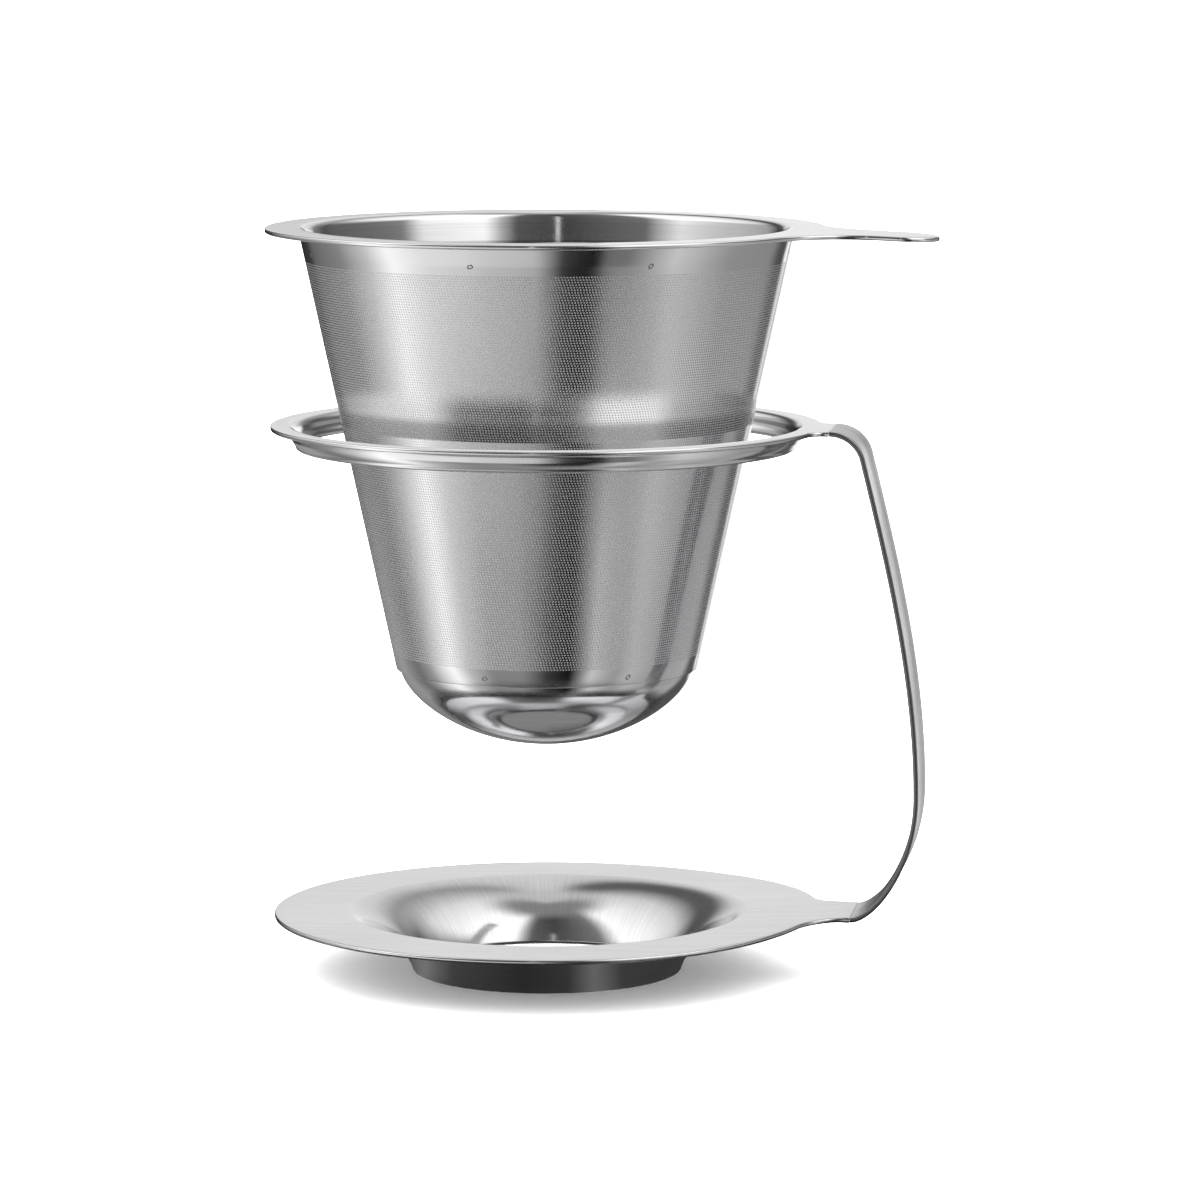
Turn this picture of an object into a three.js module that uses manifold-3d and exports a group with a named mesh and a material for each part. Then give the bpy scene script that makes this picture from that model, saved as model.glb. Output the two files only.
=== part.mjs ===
// A pour over dripper of pressed stainless sheet, in two assemblies:
//  - a reusable filter: a flat rim with a lifting tab, an etched outer cone, a fine mesh liner and a cup
//  - a stand: a support ring, an arm bent from flat strip, and a base plate that sits on a mug
// Millimetres, +Z up. The filter hangs above the stand, lifted out of its ring and ready to be lowered.

import * as THREE from 'three';
import { mergeVertices } from 'three/addons/utils/BufferGeometryUtils.js';
import Module from 'manifold-3d';

const wasm = await Module();
wasm.setup();

// ---- driving dimensions of the filter ----
const coneTopRadius = 50.85; // outside of the etched sheet, produced up to the top of the rim
const rimWidth = 6.75; // from that radius to the edge of the rim
const rimThickness = 1.0;
const rimRounding = 1.7;
const coneSlope = Math.tan(THREE.MathUtils.degToRad(12.3));
const coneDepth = 91; // from the top of the rim to the lower edge of the etched sheet
const sheetThickness = 0.4;
const linerThickness = 0.3;
const layerGap = 0.3; // between neighbouring layers of the cone
const collarDepth = 7;
const cupThickness = 0.6;
const cupInsert = 4.5; // how far the cup reaches up inside the etched sheet
const cupDrop = 15.6; // how far the cup reaches below the etched sheet
const cupKnuckle = 7; // length of the tangents that shape the cup's side and its crown
const cupCrown = 16;
const tabLength = 24.4; // from the edge of the rim to the end of the tab
const tabWidth = 15.5;
const tabFillet = 20;
const tabAzimuth = -7; // degrees from the arm
const seamWidth = 9.5;
const seamStep = 0.3; // how far the overlapped edge of the sheet stands proud
const seamAzimuth = 11.25; // degrees from the middle of the tab, two facets of a turned piece

// ---- driving dimensions of the stand ----
const ringInset = 0.9; // the ring is this much smaller in radius than the rim that rests on it
const standThickness = 1.0;
const ringRounding = 1.8;
const ringClearance = 0.5; // between the lower lip of the ring and the seam of the seated cone
const ringLipInset = 0.8; // how far the lower lip steps in from the upper wall
const ringUpperWall = 2.6;
const ringBevel = 1.3;
const ringDepth = 4.8;
const baseRadius = 56.5;
const funnelRadius = 41.5; // where the flat of the base plate turns down
const throatRadius = 26.8;
const baseDepth = 12.3; // from the foot of the throat to the top of the base plate
const dripHeight = 7.9; // the seated cup's height above the foot of the throat
const armWidth = 19;
const armBow = 21.1; // how far the arm bows out past the ring
const armBulgeHeight = 38.5;
const jointGap = 0.3; // the butt joints between the arm and its two plates
const filterLift = 40.5; // from the top of the ring to the top of the rim, as the filter hangs

// ---- what follows from them ----
const rimRadius = coneTopRadius + rimWidth;
const cupDepth = coneDepth + cupDrop;
const tabReach = rimRadius + tabLength;
const ringRadius = rimRadius - ringInset;
const ringTop = cupDepth - rimThickness + dripHeight;
const armReach = ringRadius + armBow;

// ---- how finely the round shapes are faceted ----
const roundSteps = 64;
const bendSteps = 4;
const curveSteps = 8;

// ---- helpers ----

function toSolid(geometry) {
  const bare = geometry.clone();
  bare.deleteAttribute('normal');
  bare.deleteAttribute('uv');
  const merged = mergeVertices(bare, 1e-4);
  const vertProperties = new Float32Array(merged.attributes.position.array);
  const triVerts = new Uint32Array(merged.index.array);
  return new wasm.Manifold(new wasm.Mesh({ numProp: 3, vertProperties, triVerts }));
}

function toGeometry(solid) {
  const mesh = solid.getMesh();
  const geometry = new THREE.BufferGeometry();
  geometry.setAttribute('position', new THREE.BufferAttribute(new Float32Array(mesh.vertProperties), 3));
  geometry.setIndex(new THREE.BufferAttribute(new Uint32Array(mesh.triVerts), 1));
  geometry.computeVertexNormals();
  return geometry;
}

// Points on an arc, with angles in degrees.
function arcPoints(centre, radius, from, to) {
  const points = [];
  for (let step = 0; step <= bendSteps; step++) {
    const angle = THREE.MathUtils.degToRad(THREE.MathUtils.lerp(from, to, step / bendSteps));
    points.push(new THREE.Vector2(centre.x + radius * Math.cos(angle), centre.y + radius * Math.sin(angle)));
  }
  return points;
}

// The closed section of a sheet whose visible face follows the path. The sheet's thickness lies
// to the left of the path.
function sheetSection(path, thickness) {
  const back = path.map((point, i) => {
    const before = path[Math.max(i - 1, 0)];
    const after = path[Math.min(i + 1, path.length - 1)];
    const intoPoint = point.clone().sub(before).normalize();
    const outOfPoint = after.clone().sub(point).normalize();
    const along = intoPoint.clone().add(outOfPoint).normalize();
    const corner = i > 0 && i < path.length - 1 ? along.dot(intoPoint) : 1;
    const normal = new THREE.Vector2(-along.y, along.x);
    return point.clone().addScaledVector(normal, thickness / corner);
  });
  return [...path, ...back.reverse()];
}

// A section in (radius, height) turned round the Z axis. The first point is repeated to close it.
function turned(section) {
  const geometry = new THREE.LatheGeometry([...section, section[0].clone()], roundSteps);
  geometry.rotateX(Math.PI / 2);
  const solid = toSolid(geometry);
  return solid.volume() > 0 ? solid : toSolid(flipped(geometry));
}

function flipped(geometry) {
  const index = geometry.index.array;
  for (let i = 0; i < index.length; i += 3) {
    [index[i], index[i + 1]] = [index[i + 1], index[i]];
  }
  return geometry;
}

// A round plate with a strip that leaves it along +X through two concave fillets, and a round hole.
// The plate's top is at z = 0. roundEnd gives the strip a half-round end, as on a lifting tab.
function plateWithStrip({ radius, hole, stripWidth, fillet, reach, thickness, roundEnd }) {
  const half = stripWidth / 2;
  const filletX = Math.sqrt((radius + fillet) ** 2 - (half + fillet) ** 2);
  const meeting = Math.atan2(half + fillet, filletX);
  const outline = new THREE.Shape();
  outline.absarc(0, 0, radius, meeting, 2 * Math.PI - meeting, false);
  outline.absarc(filletX, -half - fillet, fillet, Math.PI - meeting, Math.PI / 2, true);
  if (roundEnd) {
    outline.absarc(reach - half, 0, half, -Math.PI / 2, Math.PI / 2, false);
  } else {
    outline.lineTo(reach, -half);
    outline.lineTo(reach, half);
  }
  outline.absarc(filletX, half + fillet, fillet, -Math.PI / 2, meeting - Math.PI, true);
  const opening = new THREE.Path();
  opening.absarc(0, 0, hole, 0, 2 * Math.PI, true);
  outline.holes.push(opening);
  const options = { depth: thickness, bevelEnabled: false, curveSegments: roundSteps / 2 };
  const geometry = new THREE.ExtrudeGeometry(outline, options);
  geometry.translate(0, 0, -thickness);
  return toSolid(geometry);
}

// ---- the cone that all filter pieces share; depth is measured down from the top of the rim ----

const coneSecant = Math.hypot(1, coneSlope); // turns a thickness into a difference of radius
const sheetOutside = (depth) => coneTopRadius - coneSlope * depth;
const lineOutside = (depth) => sheetOutside(depth) - (sheetThickness + layerGap) * coneSecant;
const collarInside = (depth) => lineOutside(depth) - rimThickness * coneSecant;

function conePiece(outside, thickness, top, bottom) {
  return [
    new THREE.Vector2(outside(top), -top),
    new THREE.Vector2(outside(bottom), -bottom),
    new THREE.Vector2(outside(bottom) - thickness * coneSecant, -bottom),
    new THREE.Vector2(outside(top) - thickness * coneSecant, -top),
  ];
}

// ---- filter ----

const overlap = 1; // how far a plate and its turned edge run into each other before they are joined

function filterRim() {
  const coneAngle = THREE.MathUtils.radToDeg(Math.atan(coneSlope));
  const centre = new THREE.Vector2(collarInside(rimRounding) + rimRounding * coneSecant, -rimRounding);
  const path = [
    new THREE.Vector2(centre.x + 2 * overlap, 0),
    ...arcPoints(centre, rimRounding, 90, 180 - coneAngle),
    new THREE.Vector2(collarInside(collarDepth), -collarDepth),
  ];
  const section = sheetSection(path, rimThickness);
  section[path.length].set(lineOutside(collarDepth), -collarDepth); // the collar is cut off level
  const collar = turned(section);
  const plate = plateWithStrip({
    radius: rimRadius,
    hole: centre.x + overlap,
    stripWidth: tabWidth,
    fillet: tabFillet,
    reach: tabReach,
    thickness: rimThickness,
    roundEnd: true,
  });
  return toGeometry(plate.add(collar));
}

// The sheet is rolled and its edges overlap in a plain, welded seam that runs down under the tab.
function outerCone() {
  const top = rimThickness + layerGap;
  const sheet = turned(conePiece(sheetOutside, sheetThickness, top, coneDepth));
  const length = coneDepth - top;
  const seam = new THREE.BoxGeometry(seamWidth, sheetThickness / 2 + seamStep, length, 4, 1, 1);
  const position = seam.attributes.position;
  for (let i = 0; i < position.count; i++) {
    const depth = top + length / 2 - position.getZ(i);
    const radius = sheetOutside(depth) - sheetThickness / 4 + seamStep / 2 + position.getY(i);
    const angle = -position.getX(i) / sheetOutside(depth);
    position.setXYZ(i, radius * Math.cos(angle), radius * Math.sin(angle), -depth);
  }
  return toGeometry(sheet.add(toSolid(seam)));
}

function linerCone() {
  const top = collarDepth + layerGap;
  const bottom = coneDepth - cupInsert - layerGap;
  return toGeometry(turned(conePiece(lineOutside, linerThickness, top, bottom)));
}

function bottomCup() {
  const top = coneDepth - cupInsert;
  const edge = new THREE.Vector2(lineOutside(coneDepth), -coneDepth);
  const alongCone = new THREE.Vector2(-coneSlope, -1).normalize();
  const dome = new THREE.CubicBezierCurve(
    edge,
    edge.clone().addScaledVector(alongCone, cupKnuckle),
    new THREE.Vector2(cupCrown, -cupDepth),
    new THREE.Vector2(0, -cupDepth),
  );
  const outside = [new THREE.Vector2(lineOutside(top), -top), ...dome.getPoints(curveSteps)];
  const section = sheetSection(outside, -cupThickness);
  section[outside.length].x = 0;
  return toGeometry(turned(section));
}

// ---- stand ----

const ringTongueFillet = 3.5;
const baseTongueFillet = 10;

// Where a strip leaves its plate: the end of the fillets, and then a short straight.
function tongueEnd(radius, fillet) {
  const half = armWidth / 2;
  const shortStraight = 0.3;
  return Math.sqrt((radius + fillet) ** 2 - (half + fillet) ** 2) + shortStraight;
}

const ringTongueEnd = tongueEnd(ringRadius, ringTongueFillet);
const baseTongueEnd = tongueEnd(baseRadius, baseTongueFillet);

function supportRing() {
  const seatedDepth = ringUpperWall + ringBevel + rimThickness;
  const lipRadius = sheetOutside(seatedDepth) + seamStep + ringClearance;
  const wallRadius = lipRadius + ringLipInset;
  const centre = new THREE.Vector2(wallRadius + ringRounding, -ringRounding);
  const path = [
    new THREE.Vector2(centre.x + 2 * overlap, 0),
    ...arcPoints(centre, ringRounding, 90, 180),
    new THREE.Vector2(wallRadius, -ringUpperWall),
    new THREE.Vector2(lipRadius, -ringUpperWall - ringBevel),
    new THREE.Vector2(lipRadius, -ringDepth),
  ];
  const lip = turned(sheetSection(path, standThickness));
  const plate = plateWithStrip({
    radius: ringRadius,
    hole: centre.x + overlap,
    stripWidth: armWidth,
    fillet: ringTongueFillet,
    reach: ringTongueEnd,
    thickness: standThickness,
    roundEnd: false,
  });
  return toGeometry(plate.add(lip));
}

// A flat plate whose middle is drawn down into a bell-mouthed funnel that centres in a mug.
function basePlate() {
  const bell = new THREE.CubicBezierCurve(
    new THREE.Vector2(funnelRadius, 0),
    new THREE.Vector2(THREE.MathUtils.lerp(funnelRadius, throatRadius, 0.2), 0),
    new THREE.Vector2(throatRadius + 0.14 * baseDepth, -baseDepth * 0.43),
    new THREE.Vector2(throatRadius, -baseDepth),
  );
  const path = [new THREE.Vector2(funnelRadius + 2 * overlap, 0), ...bell.getPoints(curveSteps)];
  const section = sheetSection(path, standThickness);
  section[path.length].y = -baseDepth; // the foot is ground flat
  const funnel = turned(section);
  const plate = plateWithStrip({
    radius: baseRadius,
    hole: funnelRadius + overlap,
    stripWidth: armWidth,
    fillet: baseTongueFillet,
    reach: baseTongueEnd,
    thickness: standThickness,
    roundEnd: false,
  });
  return toGeometry(plate.add(funnel));
}

// The outer face of the arm, from the ring's tongue over the top bend, down the slightly bowed
// handle, and round the long lower bend to the base plate's tongue. x is the distance from the axis.
function armPath() {
  const start = new THREE.Vector2(ringTongueEnd + jointGap, ringTop);
  const end = new THREE.Vector2(baseTongueEnd + jointGap, baseDepth - standThickness);
  const topBend = 7.5;
  const lean = THREE.MathUtils.degToRad(76); // how steeply the handle leaves the top bend
  const down = new THREE.Vector2(Math.cos(lean), -Math.sin(lean));
  const bendReach = new THREE.Vector2(Math.sin(lean), Math.cos(lean) - 1).multiplyScalar(topBend);
  const shoulder = start.clone().add(bendReach);
  const bulge = new THREE.Vector2(armReach, armBulgeHeight);
  const handle = shoulder.distanceTo(bulge);
  const tangent = topBend * (4 / 3) * Math.tan(lean / 4);
  const across = new THREE.Vector2(1, 0);
  const upright = new THREE.Vector2(0, 1);
  const lowerHeight = bulge.y - end.y;
  const top = new THREE.CubicBezierCurve(
    start,
    start.clone().addScaledVector(across, tangent),
    shoulder.clone().addScaledVector(down, -tangent),
    shoulder,
  );
  const middle = new THREE.CubicBezierCurve(
    shoulder,
    shoulder.clone().addScaledVector(down, handle / 3),
    bulge.clone().addScaledVector(upright, handle / 3),
    bulge,
  );
  const lower = new THREE.CubicBezierCurve(
    bulge,
    bulge.clone().addScaledVector(upright, -0.55 * lowerHeight),
    end.clone().addScaledVector(across, 0.2 * lowerHeight),
    end,
  );
  return [top, middle, lower].flatMap((curve, i) => curve.getPoints(curveSteps).slice(i > 0 ? 1 : 0));
}

function arm() {
  const path = armPath();
  const section = sheetSection(path, -standThickness);
  section[path.length].x = path.at(-1).x; // both ends are cut square to the tongues
  section.at(-1).x = path[0].x;
  const side = new THREE.Shape(section);
  const geometry = new THREE.ExtrudeGeometry(side, { depth: armWidth, bevelEnabled: false });
  geometry.rotateX(Math.PI / 2);
  geometry.translate(0, armWidth / 2, 0);
  return toGeometry(toSolid(geometry));
}

// ---- assembly ----

function addPiece(assembly, name, geometry, look) {
  const mesh = new THREE.Mesh(geometry, new THREE.MeshStandardMaterial({ metalness: 1, ...look }));
  mesh.name = name;
  assembly.add(mesh);
  return mesh;
}

const filter = new THREE.Group();
filter.position.z = ringTop + filterLift;
filter.rotation.z = THREE.MathUtils.degToRad(tabAzimuth);
addPiece(filter, 'filter_rim', filterRim(), { color: 0xd9dadc, roughness: 0.14 });
const rolledCone = addPiece(filter, 'outer_cone', outerCone(), { color: 0xa9abae, roughness: 0.32 });
rolledCone.rotation.z = THREE.MathUtils.degToRad(seamAzimuth);
addPiece(filter, 'mesh_liner', linerCone(), { color: 0x8d9094, roughness: 0.45 });
addPiece(filter, 'bottom_cup', bottomCup(), { color: 0xb4b6b9, roughness: 0.16 });

const stand = new THREE.Group();
addPiece(stand, 'support_ring', supportRing(), { color: 0xc4c6c8, roughness: 0.3 }).position.z = ringTop;
addPiece(stand, 'arm', arm(), { color: 0xa8aaad, roughness: 0.34 });
addPiece(stand, 'base_plate', basePlate(), { color: 0xc9cbcd, roughness: 0.34 }).position.z = baseDepth;

// The origin is under the middle of the object's box, on the plane that its foot stands on.
const group = new THREE.Group();
group.add(filter, stand);
group.updateMatrixWorld(true);
const box = new THREE.Box3().setFromObject(group, true);
const middle = box.getCenter(new THREE.Vector3());
group.position.set(-middle.x, -middle.y, -box.min.z);

export default group;
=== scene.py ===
import math
import bmesh
import bpy
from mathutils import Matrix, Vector


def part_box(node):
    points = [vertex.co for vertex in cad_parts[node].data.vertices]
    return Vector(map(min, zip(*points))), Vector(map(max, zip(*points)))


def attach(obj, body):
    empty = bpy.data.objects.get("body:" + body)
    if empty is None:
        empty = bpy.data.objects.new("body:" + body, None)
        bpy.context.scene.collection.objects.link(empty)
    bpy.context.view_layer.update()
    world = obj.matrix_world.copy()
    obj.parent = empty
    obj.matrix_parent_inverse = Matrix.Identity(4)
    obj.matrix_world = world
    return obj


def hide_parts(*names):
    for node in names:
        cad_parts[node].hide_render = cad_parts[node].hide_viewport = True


# Pour over dripper: a bright drawn steel filter, lifted out of its satin steel stand.
# Every piece is turned or swept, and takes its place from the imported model's own boxes, in metres.
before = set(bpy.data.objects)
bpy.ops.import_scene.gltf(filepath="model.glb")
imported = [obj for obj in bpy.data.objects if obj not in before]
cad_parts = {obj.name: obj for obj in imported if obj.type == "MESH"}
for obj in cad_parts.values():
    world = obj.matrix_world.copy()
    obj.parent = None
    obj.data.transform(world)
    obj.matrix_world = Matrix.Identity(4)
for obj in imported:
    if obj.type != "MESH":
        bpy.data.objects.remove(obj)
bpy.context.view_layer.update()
mm = 0.001


def middleOf(node):
    low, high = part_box(node)
    return (low + high) / 2


def halfDepth(node):  # half the size front to back, which the tab, tongue and seam don't widen
    low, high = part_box(node)
    return (high.y - low.y) / 2


axisPoint = middleOf("mesh_liner")
axisX, axisY = axisPoint.x, axisPoint.y
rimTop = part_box("filter_rim")[1].z
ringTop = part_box("support_ring")[1].z
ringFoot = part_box("support_ring")[0].z
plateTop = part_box("base_plate")[1].z
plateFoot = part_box("base_plate")[0].z
armLow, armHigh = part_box("arm")
armHalf = (armHigh.y - armLow.y) / 2

cone = {
    "angle": 12.3,            # half angle, degrees
    "topRadius": 50.85 * mm,  # outside of the sheet, level with the top of the rim
    "sheet": 0.4 * mm,
    "gap": 0.3 * mm,
    "tabAngle": -7.0,         # degrees from the arm
    "seamAngle": 4.25,
}
coneSlope = math.tan(math.radians(cone["angle"]))
coneStretch = 1 / math.cos(math.radians(cone["angle"]))
tabAngle = math.radians(cone["tabAngle"])
lapAngle = math.radians(cone["seamAngle"])


def coneRadius(z, inset=0.0):  # outside radius of the etched sheet at a height, less an inset
    return cone["topRadius"] - coneSlope * (rimTop - z) - inset * coneStretch


def arc(centreR, centreZ, radius, start, end, steps):
    out = []
    for i in range(steps + 1):
        a = math.radians(start + (end - start) * i / steps)
        out.append((centreR + radius * math.cos(a), centreZ + radius * math.sin(a)))
    return out


def bezier(a, b, c, d, steps):
    out = []
    for i in range(steps + 1):
        t = i / steps
        s = 1 - t
        weights = (s**3, 3 * s * s * t, 3 * s * t * t, t**3)
        x = sum(w * p[0] for w, p in zip(weights, (a, b, c, d)))
        y = sum(w * p[1] for w, p in zip(weights, (a, b, c, d)))
        out.append((x, y))
    return out


def between(a, b, share):  # the point a share of the way from a to b
    return a[0] + (b[0] - a[0]) * share, a[1] + (b[1] - a[1]) * share


def straight(a, b, steps):  # the points after a, up to b
    return [between(a, b, i / steps) for i in range(1, steps + 1)]


def unit(x, y):
    size = math.hypot(x, y) or 1.0
    return x / size, y / size


def sideways(path, i):  # the left normal of a path at a point, and how far a mitre stretches there
    before = path[max(i - 1, 0)]
    here = path[i]
    after = path[min(i + 1, len(path) - 1)]
    inX, inY = unit(here[0] - before[0], here[1] - before[1])
    outX, outY = unit(after[0] - here[0], after[1] - here[1])
    if i == 0:
        inX, inY = outX, outY
    if i == len(path) - 1:
        outX, outY = inX, inY
    tx, ty = unit(inX + outX, inY + outY)
    return (-ty, tx), max(tx * inX + ty * inY, 0.5)


def trimmed(path, cut):  # a path that starts a short way in from its first point
    path = list(path)
    while math.dist(path[0], path[1]) <= cut:
        cut -= math.dist(path[0], path[1])
        path.pop(0)
    path[0] = between(path[0], path[1], cut / math.dist(path[0], path[1]))
    return path


def sheetLoop(path, thickness, roundSteps=5):
    # a closed section whose shown face follows the path and whose edges are rounded over
    half = thickness / 2
    path = trimmed(trimmed(path, half)[::-1], half)[::-1]
    back = []
    for i, p in enumerate(path):
        n, stretch = sideways(path, i)
        back.append((p[0] + n[0] * thickness / stretch, p[1] + n[1] * thickness / stretch))
    loop = list(path)
    for i, j in ((-1, -2), (0, 1)):
        n, _ = sideways(path, len(path) - 1 if i == -1 else 0)
        tx, ty = unit(path[i][0] - path[j][0], path[i][1] - path[j][1])
        cx = path[i][0] + n[0] * half
        cy = path[i][1] + n[1] * half
        first = -1 if i == -1 else 1
        for k in range(1, roundSteps):
            a = math.pi * k / roundSteps
            side = first * math.cos(a) * half
            out = math.sin(a) * half
            loop.append((cx + side * n[0] + out * tx, cy + side * n[1] + out * ty))
        if i == -1:
            loop.extend(reversed(back))
    return loop


sharpAngle = math.radians(40)  # edges that turn more than this stay crisp


def spun(name, columns, material, closed=True):
    # joins neighbouring columns of points with quads; each column is a closed section
    mesh = bpy.data.meshes.new(name)
    count = len(columns[0])
    points = [tuple(p) for column in columns for p in column]
    faces = []
    spans = len(columns) if closed else len(columns) - 1
    for i in range(spans):
        a = i * count
        b = (i + 1) % len(columns) * count
        for k in range(count):
            n = (k + 1) % count
            faces.append((a + k, a + n, b + n, b + k))
    if not closed:
        faces.append(tuple(range(count - 1, -1, -1)))
        faces.append(tuple((len(columns) - 1) * count + k for k in range(count)))
    mesh.from_pydata(points, [], faces)
    bm = bmesh.new()
    bm.from_mesh(mesh)
    bmesh.ops.remove_doubles(bm, verts=bm.verts, dist=1e-7)
    bmesh.ops.dissolve_degenerate(bm, edges=bm.edges, dist=1e-7)
    bmesh.ops.recalc_face_normals(bm, faces=bm.faces)
    bm.to_mesh(mesh)
    bm.free()
    mesh.shade_smooth()
    mesh.set_sharp_from_angle(angle=sharpAngle)
    piece = bpy.data.objects.new(name, mesh)
    bpy.context.scene.collection.objects.link(piece)
    piece.data.materials.append(material)
    return piece


def around(radius, angle, z):  # a point by its distance and direction from the dripper's axis
    return axisX + radius * math.cos(angle), axisY + radius * math.sin(angle), z


def turned(name, loop, material, steps=320):
    columns = []
    for i in range(steps):
        columns.append([around(r, 2 * math.pi * i / steps, z) for r, z in loop])
    return spun(name, columns, material)


def place(piece, body, node=None):
    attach(piece, body)
    if node:
        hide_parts(node)
    return piece


def plateOutline(radius, half, fillet, reach, roundEnd, spacing):
    # the edge of a round plate with a strip along +X, as points and outward normals
    filletX = math.sqrt((radius + fillet) ** 2 - (half + fillet) ** 2)
    meeting = math.degrees(math.atan2(half + fillet, filletX))
    runs = [arc(0, 0, radius, meeting, 360 - meeting, 300)]
    runs.append(arc(filletX, -half - fillet, fillet, 180 - meeting, 90, 14)[1:])
    if roundEnd:
        runs.append(straight((filletX, -half), (reach - half, -half), spacing))
        runs.append(arc(reach - half, 0, half, -90, 90, 40)[1:])
        runs.append(straight((reach - half, half), (filletX, half), spacing))
    else:
        runs.append(straight((filletX, -half), (reach, -half), 3))
        runs.append(straight((reach, -half), (reach, half), 16))
        runs.append(straight((reach, half), (filletX, half), 3))
    runs.append(arc(filletX, half + fillet, fillet, -90, meeting - 180, 14)[1:-1])
    points = [p for run in runs for p in run]
    rows = []
    for i, p in enumerate(points):
        before = points[i - 1]
        after = points[(i + 1) % len(points)]
        tx, ty = unit(after[0] - before[0], after[1] - before[1])
        rows.append((p, (ty, -tx)))
    return rows


cutEdge = 0.35 * mm  # rounding of the cut edges of plates and strip


def edgeRounding(thickness, degrees):
    # how far in from the edge, and how high from the top face, a rounded cut edge is at an angle
    a = math.radians(degrees)
    side = (degrees > 0) - (degrees < 0)
    inset = cutEdge * (1 - math.cos(a))
    height = -thickness / 2 + side * (thickness / 2 - cutEdge) + cutEdge * math.sin(a)
    return inset, height


def stampedPlate(name, outline, path, thickness, topZ, turn, material, bend=None):
    # a flat plate of any outline whose middle is drawn down along the path, which starts on the flat
    inner = sheetLoop(path, thickness)
    flatR = path[0][0]
    start = len(path)
    loopInner = inner[1:start]          # shown face, from the flat to the drawn edge
    rest = inner[start:]
    under = [p for p in rest if p[0] < flatR + thickness]
    flatSteps = 7
    columns = []
    for (x, y), (nx, ny) in outline:
        angle = math.atan2(y, x)
        column = []

        def put(px, py, z):
            if bend:
                z += bend(px, py)
            c, s = math.cos(turn), math.sin(turn)
            column.append((axisX + px * c - py * s, axisY + px * s + py * c, topZ + z))

        reach = math.hypot(x, y)
        flat = [flatR + (reach - flatR) * k / flatSteps for k in range(flatSteps)]
        for k in range(flatSteps - 1, -1, -1):   # top face, edge to middle
            put(flat[k] * math.cos(angle), flat[k] * math.sin(angle), 0.0)
        for r, z in loopInner:
            put(r * math.cos(angle), r * math.sin(angle), z)
        for r, z in under:
            put(r * math.cos(angle), r * math.sin(angle), z)
        for k in range(1, flatSteps):            # underside, middle to edge
            put(flat[k] * math.cos(angle), flat[k] * math.sin(angle), -thickness)
        for k in range(9):                       # rounded outer edge, bottom to top
            inset, z = edgeRounding(thickness, -90 + 180 * k / 8)
            put(x - nx * inset, y - ny * inset, z)
        columns.append(column)
    return spun(name, columns, material)


class Graph:  # short forms for wiring a node tree
    def __init__(self, tree):
        self.tree = tree

    def node(self, kind, **values):
        made = self.tree.nodes.new(kind)
        for key, value in values.items():
            setattr(made, key, value)
        return made

    def feed(self, socket, value):
        if isinstance(value, bpy.types.NodeSocket):
            self.tree.links.new(value, socket)
        else:
            socket.default_value = value

    def math(self, operation, a, b=0.0):
        made = self.node("ShaderNodeMath", operation=operation)
        self.feed(made.inputs[0], a)
        self.feed(made.inputs[1], b)
        return made.outputs[0]

    def times(self, a, b):
        return self.math("MULTIPLY", a, b)

    def plus(self, a, b):
        return self.math("ADD", a, b)

    def minus(self, a, b):
        return self.math("SUBTRACT", a, b)

    def vector(self, operation, a, b=(0, 0, 0)):
        made = self.node("ShaderNodeVectorMath", operation=operation)
        self.feed(made.inputs[0], a)
        self.feed(made.inputs[1], b)
        return made.outputs[0]

    def split(self, vector):
        made = self.node("ShaderNodeSeparateXYZ")
        self.feed(made.inputs[0], vector)
        return made.outputs

    def join(self, x, y, z):
        made = self.node("ShaderNodeCombineXYZ")
        for socket, value in zip(made.inputs, (x, y, z)):
            self.feed(socket, value)
        return made.outputs[0]

    def spread(self, value, low, high, outLow, outHigh, smooth=True):
        made = self.node("ShaderNodeMapRange")
        made.interpolation_type = "SMOOTHSTEP" if smooth else "LINEAR"
        self.feed(made.inputs["Value"], value)
        made.inputs["From Min"].default_value = low
        made.inputs["From Max"].default_value = high
        made.inputs["To Min"].default_value = outLow
        made.inputs["To Max"].default_value = outHigh
        return made.outputs[0]

    def window(self, value, low, full, ending, gone):
        # rises from low to full, and falls again from ending to gone
        return self.times(self.spread(value, low, full, 0, 1), self.spread(value, ending, gone, 1, 0))

    def noise(self, vector, scale, detail=3.0, roughness=0.55):
        made = self.node("ShaderNodeTexNoise")
        self.feed(made.inputs["Vector"], vector)
        made.inputs["Scale"].default_value = scale
        made.inputs["Detail"].default_value = detail
        made.inputs["Roughness"].default_value = roughness
        return made.outputs["Fac"]

    def ramp(self, factor, stops):
        made = self.node("ShaderNodeValToRGB")
        elements = made.color_ramp.elements
        while len(elements) > 1:
            elements.remove(elements[0])
        for i, (position, shade) in enumerate(stops):
            element = elements[0] if i == 0 else elements.new(position)
            element.position = position
            element.color = (shade, shade, shade, 1.0)
        self.feed(made.inputs[0], factor)
        return made.outputs[0]

    def mixColor(self, factor, a, b):
        made = self.node("ShaderNodeMix", data_type="RGBA")
        self.feed(made.inputs["Factor"], factor)
        self.feed(made.inputs[6], a)
        self.feed(made.inputs[7], b)
        return made.outputs[2]

    def bump(self, height, strength, distance, normal=None):
        made = self.node("ShaderNodeBump")
        made.inputs["Strength"].default_value = strength
        made.inputs["Distance"].default_value = distance
        self.feed(made.inputs["Height"], height)
        if normal is not None:
            self.feed(made.inputs["Normal"], normal)
        return made.outputs[0]


def tint(color, share=1.0):  # a colour, or a darker share of it, as a node wants it
    return tuple(c * share for c in color) + (1.0,)


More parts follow.
